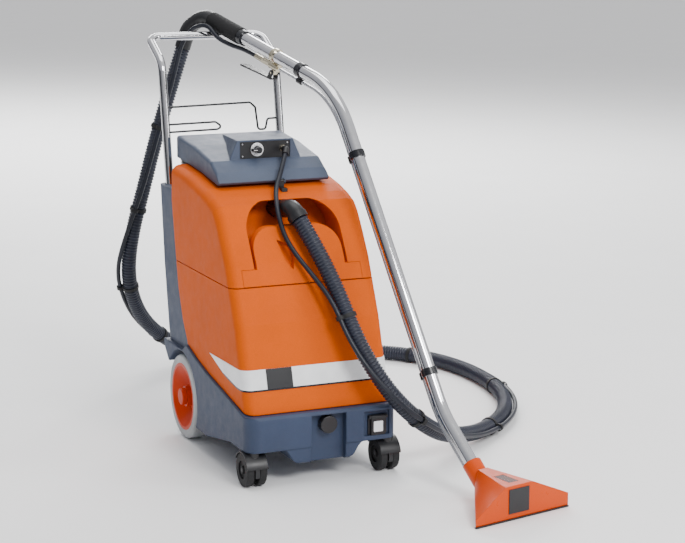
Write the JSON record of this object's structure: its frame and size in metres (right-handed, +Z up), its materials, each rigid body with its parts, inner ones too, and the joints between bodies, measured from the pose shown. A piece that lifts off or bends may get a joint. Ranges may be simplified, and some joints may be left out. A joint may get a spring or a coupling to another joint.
{
  "type": "carpet cleaner",
  "caption": "Wheeled upright carpet extraction machine: two stacked tanks, push handle, vacuum and spray hoses, and a cleaning wand resting on the handle bar.",
  "frame": {"origin": "centre of the footprint of everything but the free hoses, on the floor", "axes": "+X to the right seen from the front, +Y from the front to the handle, +Z up"},
  "size_m": [0.9352, 1.5616, 0.9864],
  "materials": {
    "tank_plastic": "lightly grained moulded orange plastic",
    "chassis_plastic": "lightly grained moulded blue-grey plastic",
    "cover_plastic": "lightly grained moulded blue-grey plastic",
    "black_plastic": "satin black plastic",
    "gloss_black": "glossy black plastic",
    "orange_plastic": "glossy orange plastic",
    "white_film": "smooth white film",
    "grey_tyre": "matt light grey rubber",
    "rubber": "soft matt black rubber",
    "foam": "black foam rubber",
    "castor_tread": "matt black rubber tread",
    "chrome": "polished chrome plating",
    "steel": "plain steel",
    "brass": "machined brass",
    "hose": "ribbed dark blue-grey flexible plastic",
    "thin_hose": "smooth dark flexible tube",
    "smoked": "smoked clear plastic",
    "motor_metal": "grey motor can"
  },
  "bodies": {
    "machine": {"solution_tank": "tank_plastic", "recovery_tank": "tank_plastic", "filler_cover": "tank_plastic", "filler_strainer": "black_plastic", "tank_gasket": "rubber", "stripe_band": "white_film", "stripe_block": "black_plastic", "chassis_base": "chassis_plastic", "base_plate": "chassis_plastic", "drain_spout": "black_plastic", "socket_body": "black_plastic", "rear_axle": "steel", "head_cover": "cover_plastic", "control_panel": "gloss_black", "quick_coupling": "brass", "cover_seal": "rubber", "hinge_block": "black_plastic", "latch_keeper": "black_plastic", "hose_port": "black_plastic", "hose_cuff": "black_plastic", "vacuum_motor": "motor_metal", "pump": "motor_metal", "float_cage": "white_film", "handle_tube": "chrome", "handle_bolts": "steel", "wire_hooks": "gloss_black", "hose_clip": "black_plastic", "wand_tube": "chrome", "wand_grip": "foam", "wand_collar": "gloss_black", "hose_elbow": "black_plastic", "spray_tube": "chrome", "valve_body": "brass", "valve_nut": "brass", "wand_clips": "gloss_black", "floor_tool": "orange_plastic", "tool_lip": "black_plastic", "tool_plate": "black_plastic", "sight_window": "smoked", "vacuum_hose": "hose", "spray_hose": "thin_hose", "spray_plug": "black_plastic", "hose_ties": "rubber"},
    "wheel_left": {"tyre_left": "grey_tyre", "rim_left": "orange_plastic", "hub_cap_left": "orange_plastic"},
    "wheel_right": {"tyre_right": "grey_tyre", "rim_right": "orange_plastic", "hub_cap_right": "orange_plastic"},
    "castor_left": {"castor_fork_left": "black_plastic"},
    "castor_right": {"castor_fork_right": "black_plastic"},
    "castor_roller_left_outer": {"castor_wheel_left_outer": "castor_tread"},
    "castor_roller_left_inner": {"castor_wheel_left_inner": "castor_tread"},
    "castor_roller_right_outer": {"castor_wheel_right_outer": "castor_tread"},
    "castor_roller_right_inner": {"castor_wheel_right_inner": "castor_tread"},
    "knob": {"power_knob": "gloss_black"},
    "drain": {"drain_cap": "black_plastic"},
    "flap": {"socket_flap": "black_plastic"},
    "latch": {"cover_latch": "black_plastic"},
    "trigger": {"trigger_lever": "black_plastic"}
  },
  "joints": [
    {"name": "wheel_left_spin", "type": "hinge", "parent": "machine", "child": "wheel_left", "pos_m": [-0.26571, 0.22911, 0.1], "axis": [1, 0, 0], "continuous": true},
    {"name": "wheel_right_spin", "type": "hinge", "parent": "machine", "child": "wheel_right", "pos_m": [0.04429, 0.22911, 0.1], "axis": [1, 0, 0], "continuous": true},
    {"name": "castor_left_swivel", "type": "hinge", "parent": "machine", "child": "castor_left", "pos_m": [-0.26871, -0.20189, 0.079], "axis": [0, 0, 1], "continuous": true},
    {"name": "castor_right_swivel", "type": "hinge", "parent": "machine", "child": "castor_right", "pos_m": [0.04729, -0.20189, 0.079], "axis": [0, 0, 1], "continuous": true},
    {"name": "castor_left_outer_spin", "type": "hinge", "parent": "castor_left", "child": "castor_roller_left_outer", "pos_m": [-0.26871, -0.18689, 0.0375], "axis": [1, 0, 0], "continuous": true},
    {"name": "castor_left_inner_spin", "type": "hinge", "parent": "castor_left", "child": "castor_roller_left_inner", "pos_m": [-0.26871, -0.18689, 0.0375], "axis": [1, 0, 0], "continuous": true},
    {"name": "castor_right_outer_spin", "type": "hinge", "parent": "castor_right", "child": "castor_roller_right_outer", "pos_m": [0.04729, -0.18689, 0.0375], "axis": [1, 0, 0], "continuous": true},
    {"name": "castor_right_inner_spin", "type": "hinge", "parent": "castor_right", "child": "castor_roller_right_inner", "pos_m": [0.04729, -0.18689, 0.0375], "axis": [1, 0, 0], "continuous": true},
    {"name": "power_knob_turn", "type": "hinge", "parent": "machine", "child": "knob", "pos_m": [-0.13071, 0.12911, 0.692], "axis": [0, 1, 0], "range_deg": [0, 90]},
    {"name": "drain_cap_turn", "type": "hinge", "parent": "machine", "child": "drain", "pos_m": [-0.09871, -0.20089, 0.126], "axis": [0, 1, 0], "range_deg": [-90, 0]},
    {"name": "socket_flap_lift", "type": "hinge", "parent": "machine", "child": "flap", "pos_m": [0.01829, -0.21909, 0.132], "axis": [-1, 0, 0], "range_deg": [0, 100]},
    {"name": "cover_latch_lift", "type": "hinge", "parent": "machine", "child": "latch", "pos_m": [-0.09671, 0.06461, 0.626], "axis": [-1, 0, 0], "range_deg": [0, 85]},
    {"name": "spray_trigger", "type": "hinge", "parent": "machine", "child": "trigger", "pos_m": [-0.02768, 0.28355, 0.85146], "axis": [0.9767, 0.2147, 0], "range_deg": [0, 8], "stiffness_Nm_per_rad": 0.6, "springref_deg": -9.74}
  ]
}
